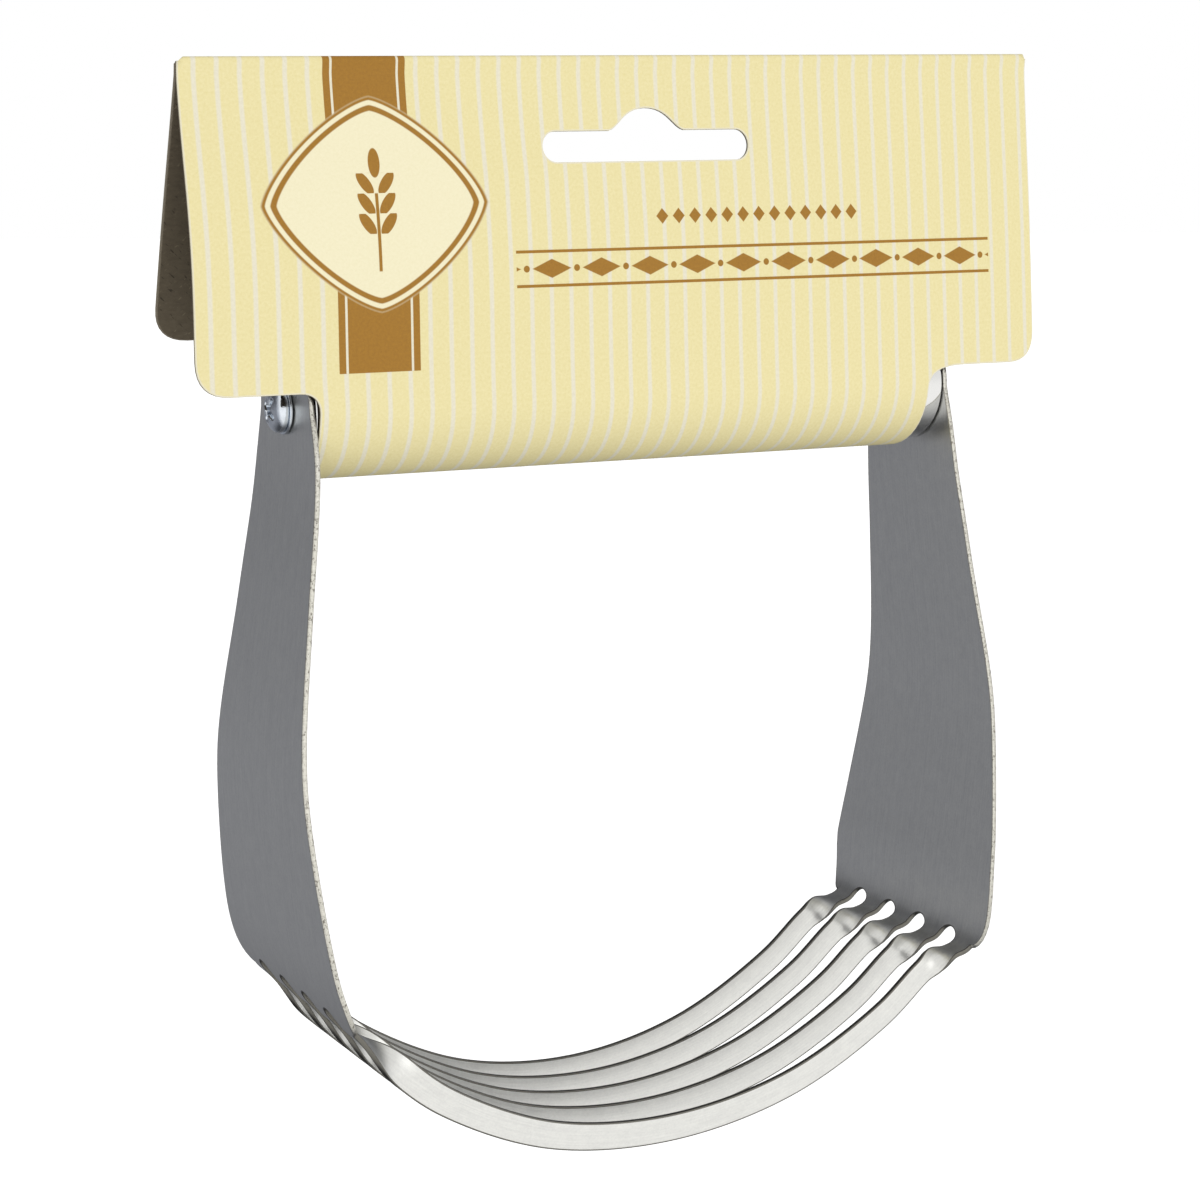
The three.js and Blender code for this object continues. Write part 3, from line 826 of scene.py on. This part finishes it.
class Surface:
    """A material with one Principled shader, and the few node groups that the materials here share."""

    def __init__(self, name, base, metallic, roughness):
        self.material = bpy.data.materials.new(name)
        self.material.use_nodes = True
        self.tree = self.material.node_tree
        self.shader = self.tree.nodes["Principled BSDF"]
        self.shader.inputs["Base Color"].default_value = base
        self.shader.inputs["Metallic"].default_value = metallic
        self.shader.inputs["Roughness"].default_value = roughness

    def pattern(self):
        """Millimetres in the flat sheet: along or across it, up or across it, and through it."""
        node = self.tree.nodes.new("ShaderNodeAttribute")
        node.attribute_name = "pattern_mm"
        return self.parts(node.outputs["Vector"])

    def position(self):
        """Millimetres in the object's own frame."""
        node = self.tree.nodes.new("ShaderNodeTexCoord")
        return [part * (1 / MM) for part in self.parts(node.outputs["Object"])]

    def parts(self, socket):
        node = self.tree.nodes.new("ShaderNodeSeparateXYZ")
        self.tree.links.new(socket, node.inputs[0])
        return [Value(self.tree, output) for output in node.outputs]

    def noise(self, where, fineness, detail=3.0, roughness=0.55):
        """Soft noise from 0 to 1, with a fineness per millimetre along each of the three parts."""
        node = self.tree.nodes.new("ShaderNodeTexNoise")
        node.inputs["Scale"].default_value = 1.0
        node.inputs["Detail"].default_value = detail
        node.inputs["Roughness"].default_value = roughness
        joined = self.tree.nodes.new("ShaderNodeCombineXYZ")
        for part, fine, slot in zip(where, fineness, joined.inputs):
            self.tree.links.new((part * fine).socket, slot)
        self.tree.links.new(joined.outputs[0], node.inputs["Vector"])
        return Value(self.tree, node.outputs["Fac"])

    def blend(self, factor, first, second):
        """A colour between two others, each a fixed colour or the result of another blend."""
        node = self.tree.nodes.new("ShaderNodeMix")
        node.data_type = "RGBA"
        self.tree.links.new(factor.socket, node.inputs["Factor"])
        for slot, value in ((node.inputs[6], first), (node.inputs[7], second)):
            if isinstance(value, tuple):
                slot.default_value = value
            else:
                self.tree.links.new(value, slot)
        return node.outputs[2]

    def use(self, name, value):
        self.tree.links.new(value.socket if isinstance(value, Value) else value, self.shader.inputs[name])

    def bump(self, height, depth):
        """Bump from a height of 0 to 1, which stands for this many millimetres."""
        node = self.tree.nodes.new("ShaderNodeBump")
        node.inputs["Distance"].default_value = depth * MM
        node.inputs["Strength"].default_value = 1.0
        self.tree.links.new(height.socket, node.inputs["Height"])
        self.tree.links.new(node.outputs["Normal"], self.shader.inputs["Normal"])


def brushed_steel():
    """Satin stainless sheet, brushed along its length, with a faint mottle."""
    surface = Surface("brushed_steel", colour(222, 222, 222), 1.0, 0.36)
    where = surface.pattern()
    streaks = surface.noise(where, (0.08, 4.0, 0.5), 4.0, 0.7)
    mottle = surface.noise(where, (0.5, 0.7, 0.5), 4.0, 0.7)
    grain = surface.noise(where, (2.6, 3.4, 0.5), 3.0, 0.7)
    tone = (streaks * 0.4 + mottle * 0.3 + grain * 0.3).spread(-0.45, 1.45)
    surface.use("Base Color", surface.blend(tone, colour(198, 198, 197), colour(236, 236, 232)))
    surface.use("Roughness", (streaks * 0.5 + mottle * 0.5).spread(0.3, 0.46))
    surface.bump(streaks * 0.6 + grain * 0.4, 0.02)
    return surface.material


def sheared_edge(slots_start, slots_end):
    """Cut edge of the sheet: bright, rough and pitted on the arms, and given painted shade round the strips,
    a dark colour standing in for the dark surroundings their edges reflect.
    """
    surface = Surface("sheared_edge", colour(214, 211, 203), 1.0, 0.36)
    where = surface.pattern()
    pits = surface.noise(where, (2.2, 3.0, 3.0), 4.0, 0.7)
    lines = surface.noise(where, (5.5, 1.0, 0.8), 2.0)
    pitted = pits.within(0.42, 0.12)
    base = surface.blend(lines, colour(164, 162, 154), colour(216, 214, 205))
    base = surface.blend(pitted, base, colour(120, 116, 108))
    along, across, _ = where
    middle = (slots_start + slots_end) / 2
    by_slots = abs(along - middle).within((slots_end - slots_start) / 2 + SLOT_WIDTH, 0.5)
    # painted shade: round the strips the edge gets a dark colour in place of the dark reflection it would
    # catch
    painted_edge_shade = both(by_slots, abs(across).within(STRIPS_HALF_WIDTH + 0.2, 0.1))
    surface.use("Base Color", surface.blend(painted_edge_shade, base, colour(112, 110, 104)))
    surface.use("Roughness", pitted.spread(0.32, 0.5))
    surface.bump(pits * 0.6 + lines * 0.4, 0.05)
    return surface.material


def polished_tube():
    surface = Surface("polished_tube", colour(222, 222, 222), 1.0, 0.07)
    where = surface.position()
    turning = surface.noise(where, (3.5, 0.08, 0.08), 3.0)
    haze = surface.noise(where, (0.12, 0.2, 0.2), 2.0)
    surface.use("Base Color", surface.blend(haze, colour(208, 208, 208), colour(234, 234, 233)))
    surface.use("Roughness", (turning * 0.5 + haze * 0.5).spread(0.04, 0.12))
    surface.bump(turning, 0.002)
    return surface.material


def plated(name, roughness):
    """Bright zinc plate, slightly blue."""
    surface = Surface(name, colour(205, 214, 224), 1.0, roughness)
    where = surface.position()
    stain = surface.noise(where, (0.5, 0.6, 0.6), 3.0)
    grain = surface.noise(where, (5.0, 5.0, 5.0), 2.0)
    surface.use("Base Color", surface.blend(stain, colour(200, 209, 220), colour(234, 238, 242)))
    surface.use("Roughness", grain.spread(roughness - 0.06, roughness + 0.1))
    surface.bump(grain, 0.012)
    return surface.material


def turned_plug():
    surface = Surface("turned_plug", colour(170, 170, 168), 1.0, 0.4)
    where = surface.position()
    rings = surface.noise(where, (6.0, 0.2, 0.2), 2.0)
    grain = surface.noise(where, (1.5, 1.5, 1.5), 3.0)
    surface.use("Base Color", surface.blend(grain, colour(150, 149, 147), colour(192, 191, 188)))
    surface.use("Roughness", rings.spread(0.3, 0.5))
    surface.bump(rings, 0.02)
    return surface.material


STRIPE_PITCH = 2.94
STRIPE_WIDTH = 0.62
STRIPE_START = 0.29
# Places of the ornament on the front panel: across it from its middle, and above the handle's axis.
BADGE_MIDDLE = (-40.2, 27.8)
RIBBON_MIDDLE = -40.6
SMALL_DIAMONDS_HEIGHT = 25.4
BAND_MIDDLE = 18.0
BAND_HEIGHT = 18.9


def repeated(value, pitch):
    """Distance from the middle of the nearest repeat."""
    return abs(value.math("MODULO", pitch).math("ADD", pitch).math("MODULO", pitch) - pitch / 2)


def over(first, second):
    return first.math("MAXIMUM", second)


def both(first, second):
    return first.math("MULTIPLY", second)


def plaque(across, up):
    """Soft lozenge with a line inside its edge: (its whole face, its golden lines)."""
    wide, tall = 15.5, 13.8
    reach = (abs(across) / wide).math("POWER", 1.35) + (abs(up) / tall).math("POWER", 1.35)
    face = reach.within(1.0, 0.04)
    line = abs(reach - 0.86).within(0.035, 0.02)
    rim = abs(reach - 0.985).within(0.03, 0.02)
    return face, over(line, rim)


def wheat_ear(across, up):
    """An ear of wheat: pairs of leaning grains up a stalk, and one at its tip."""
    pitch, lean, low, high = 2.6, 0.6, -3.6, 4.2
    side = abs(across) - 1.45
    level = (up - low).math("MODULO", pitch) - pitch / 2
    tall = side * math.sin(lean) + level * math.cos(lean)
    wide = side * math.cos(lean) - level * math.sin(lean)
    grain = ((tall / 1.75) * (tall / 1.75) + (wide / 0.72) * (wide / 0.72)).within(1.0, 0.2)
    grains = both(grain, both((up * -1).within(-low, 0.1), up.within(high, 0.1)))
    rise = up - (high + 1.3)
    tip = ((rise / 1.9) * (rise / 1.9) + (across / 0.8) * (across / 0.8)).within(1.0, 0.2)
    stalk = both(abs(across).within(0.22, 0.1), abs(up + 3.4).within(5.0, 0.2))
    return over(over(grains, tip), stalk)


def ribbon(across, up):
    """A plain upright band behind the plaque: (its golden parts, its two cream lines)."""
    whole = both(abs(across).within(5.6, 0.1), (up * -1).within(-6.3, 0.1))
    lines = abs(abs(across) - 4.5).within(0.16, 0.08)
    return whole, both(whole, lines)


def small_diamonds(across, up):
    """A short row of diamonds."""
    step = repeated(across, 2.6)
    diamond = (step / 0.95 + abs(up) / 1.05).within(1.0, 0.12)
    return both(diamond, abs(across - 16.9).within(16.9, 0.1))


def long_band(across, up):
    """Two rules with a chain of long diamonds and dots between them."""
    rules = abs(abs(up) - 2.25).within(0.2, 0.08)
    step = repeated(across, 7.5)
    chain = (step / 2.9 + abs(up) / 1.25).within(1.0, 0.12)
    gap = step * -1 + 3.75
    dots = ((gap * gap) + (up * up)).math("SQRT").within(0.45, 0.1)
    return both(over(over(rules, chain), dots), abs(across).within(39.0, 0.1))


def printed_face():
    """Outside of the board: cream with off-white pinstripes, and a plain golden ornament in front."""
    surface = Surface("printed_board_face", colour(234, 223, 168), 0.0, 0.5)
    across, up, _ = surface.pattern()
    where = (across, up, across)
    stripe = repeated(across - STRIPE_START, STRIPE_PITCH).within(STRIPE_WIDTH / 2, 0.25)
    grain = surface.noise(where, (2.5, 2.5, 0.0), 3.0, 0.7).spread(-0.25, 1.25)
    cloud = surface.noise(where, (0.06, 0.03, 0.0), 1.0)
    cream = surface.blend(grain, colour(226, 213, 152), colour(240, 230, 182))
    pale = surface.blend(grain, colour(222, 216, 194), colour(238, 233, 212))
    ground = surface.blend(stripe, cream, pale)
    gold = surface.blend(grain, colour(150, 104, 22), colour(170, 122, 34))
    band, band_lines = ribbon(across - RIBBON_MIDDLE, up)
    ground = surface.blend(band, ground, gold)
    ground = surface.blend(band_lines, ground, pale)
    face, lines = plaque(across - BADGE_MIDDLE[0], up - BADGE_MIDDLE[1])
    plaque_cream = surface.blend(grain, colour(236, 228, 190), colour(245, 238, 206))
    ground = surface.blend(face, ground, plaque_cream)
    badge = both(over(lines, wheat_ear(across - BADGE_MIDDLE[0], up - BADGE_MIDDLE[1] + 0.2)), face)
    ink = over(badge, small_diamonds(across - 0.2, up - SMALL_DIAMONDS_HEIGHT))
    ink = over(ink, long_band(across - BAND_MIDDLE, up - BAND_HEIGHT))
    surface.use("Base Color", surface.blend(ink, ground, gold))
    surface.use("Roughness", (grain * 0.5 + cloud * 0.5).spread(0.42, 0.6))
    surface.shader.inputs["Specular IOR Level"].default_value = 0.35
    surface.bump(grain * 0.03 + cloud, 0.5)
    return surface.material


def bare_board():
    """Inside of the board: unprinted grey-brown pulp with light and dark flecks."""
    surface = Surface("bare_board", colour(96, 87, 76), 0.0, 0.85)
    across, up, _ = surface.pattern()
    where = (across, up, across)
    pulp = surface.noise(where, (0.7, 1.6, 0.0), 5.0, 0.7)
    dark = surface.noise((across + up, up - across, up), (0.5, 1.9, 0.0), 2.0).within(0.34, 0.06)
    light = surface.noise((across - up, up + across, up), (0.6, 2.1, 0.0), 2.0).within(0.33, 0.06)
    base = surface.blend(pulp, colour(82, 73, 58), colour(120, 109, 90))
    base = surface.blend(dark * 0.7, base, colour(46, 39, 30))
    surface.use("Base Color", surface.blend(light * 0.35, base, colour(158, 146, 122)))
    surface.bump(pulp, 0.05)
    return surface.material


def cut_board():
    """Cut edge of the board: a thin pale coating over layers of grey-brown pulp."""
    surface = Surface("cut_board", colour(150, 140, 124), 0.0, 0.8)
    across, up, through = surface.pattern()
    layers = surface.noise((across, up, through), (0.6, 0.6, 9.0), 2.0)
    fibres = surface.noise((across, up, through), (3.0, 3.0, 3.0), 3.0)
    base = surface.blend(layers * 0.6 + fibres * 0.4, colour(104, 95, 82), colour(150, 140, 122))
    coating = (through * -1).within(-0.1, 0.06)
    surface.use("Base Color", surface.blend(coating, base, colour(232, 225, 198)))
    surface.bump(fibres, 0.05)
    return surface.material


# ---------- the object ----------
blade_frame()
hang_card()
handle_tube()
for side, name in ((-1, "left"), (1, "right")):
    washer(side, name + "_washer")
    screw(side, name + "_screw")
    plug = frame["nodes"][name + "_end_plug"]
    plug.data.materials.clear()
    plug.data.materials.append(turned_plug())


# ---------- floor, light and camera ----------
CAMERA_TARGET = to_metres([-3.62, 0.0, -28.58])
CAMERA_LEFT = math.radians(29.705)
CAMERA_RISE = math.radians(9.533)
CAMERA_DISTANCE = 321.67 * MM
CAMERA_LENS = 69.0


def aimed(thing, place, target):
    thing.location = place
    thing.rotation_euler = (Vector(target) - Vector(place)).to_track_quat("-Z", "Y").to_euler()
    bpy.context.scene.collection.objects.link(thing)


def camera():
    data = bpy.data.cameras.new("camera")
    data.lens = CAMERA_LENS
    data.clip_start = 0.01
    back = np.array([-math.sin(CAMERA_LEFT), -math.cos(CAMERA_LEFT), math.tan(CAMERA_RISE)])
    back = back * math.cos(CAMERA_RISE) * CAMERA_DISTANCE
    thing = bpy.data.objects.new("camera", data)
    aimed(thing, CAMERA_TARGET + back, CAMERA_TARGET)
    bpy.context.scene.camera = thing


def softbox(name, place, size, power):
    data = bpy.data.lights.new(name, "AREA")
    data.shape = "RECTANGLE"
    data.size, data.size_y = size
    data.energy = power
    aimed(bpy.data.objects.new(name, data), place, HANDLE_MIDDLE + np.array([0, 0, -0.03]))


def floor():
    mesh = bpy.data.meshes.new("floor")
    reach = 30.0
    level = -0.35
    corners = [(-reach, -reach, level), (reach, -reach, level), (reach, reach, level), (-reach, reach, level)]
    mesh.from_pydata(corners, [], [(0, 1, 2, 3)])
    surface = Surface("pale_floor", colour(245, 245, 245), 0.0, 0.9)
    surface.shader.inputs["Emission Color"].default_value = (1, 1, 1, 1)
    surface.shader.inputs["Emission Strength"].default_value = 0.6
    mesh.materials.append(surface.material)
    piece = bpy.data.objects.new("floor", mesh)
    bpy.context.scene.collection.objects.link(piece)
    piece.visible_glossy = False
    piece.visible_diffuse = False


FRONT_LIGHT = 0.9
BACK_LIGHT = 0.3
BACK_ABOVE = 0.1


def studio_world():
    """White to look at. As light it is bright in front and above, and dim and cool behind."""
    world = bpy.data.worlds.new("studio")
    bpy.context.scene.world = world
    world.use_nodes = True
    tree = world.node_tree
    direction = tree.nodes.new("ShaderNodeTexCoord")
    parts = tree.nodes.new("ShaderNodeSeparateXYZ")
    tree.links.new(direction.outputs["Generated"], parts.inputs[0])
    _, y, z = (Value(tree, output) for output in parts.outputs)
    front = (y * 0.97 - z * 0.25).within(0.0, 0.7)
    back = z.within(0.1, 0.4).spread(BACK_ABOVE, BACK_LIGHT)
    back = both(back, (z * -1).within(0.6, 0.5).spread(0.25, 1.0))
    shade = tree.nodes["Background"]
    tint = tree.nodes.new("ShaderNodeMix")
    tint.data_type = "RGBA"
    tint.inputs[6].default_value = (0.96, 0.98, 1.06, 1)
    tint.inputs[7].default_value = (1.0, 0.995, 0.975, 1)
    tree.links.new(front.socket, tint.inputs["Factor"])
    tree.links.new(tint.outputs[2], shade.inputs["Color"])
    tree.links.new((front * FRONT_LIGHT + back).socket, shade.inputs["Strength"])
    white = tree.nodes.new("ShaderNodeBackground")
    white.inputs["Color"].default_value = (1, 1, 1, 1)
    path = tree.nodes.new("ShaderNodeLightPath")
    mix = tree.nodes.new("ShaderNodeMixShader")
    tree.links.new(path.outputs["Is Camera Ray"], mix.inputs[0])
    tree.links.new(shade.outputs[0], mix.inputs[1])
    tree.links.new(white.outputs[0], mix.inputs[2])
    tree.links.new(mix.outputs[0], tree.nodes["World Output"].inputs[0])


camera()
floor()
studio_world()
softbox("front_softbox", (0.35, -0.95, 0.1), (0.5, 0.5), 0.7)
bpy.context.scene.view_settings.view_transform = "Standard"

bpy.context.view_layer.update()
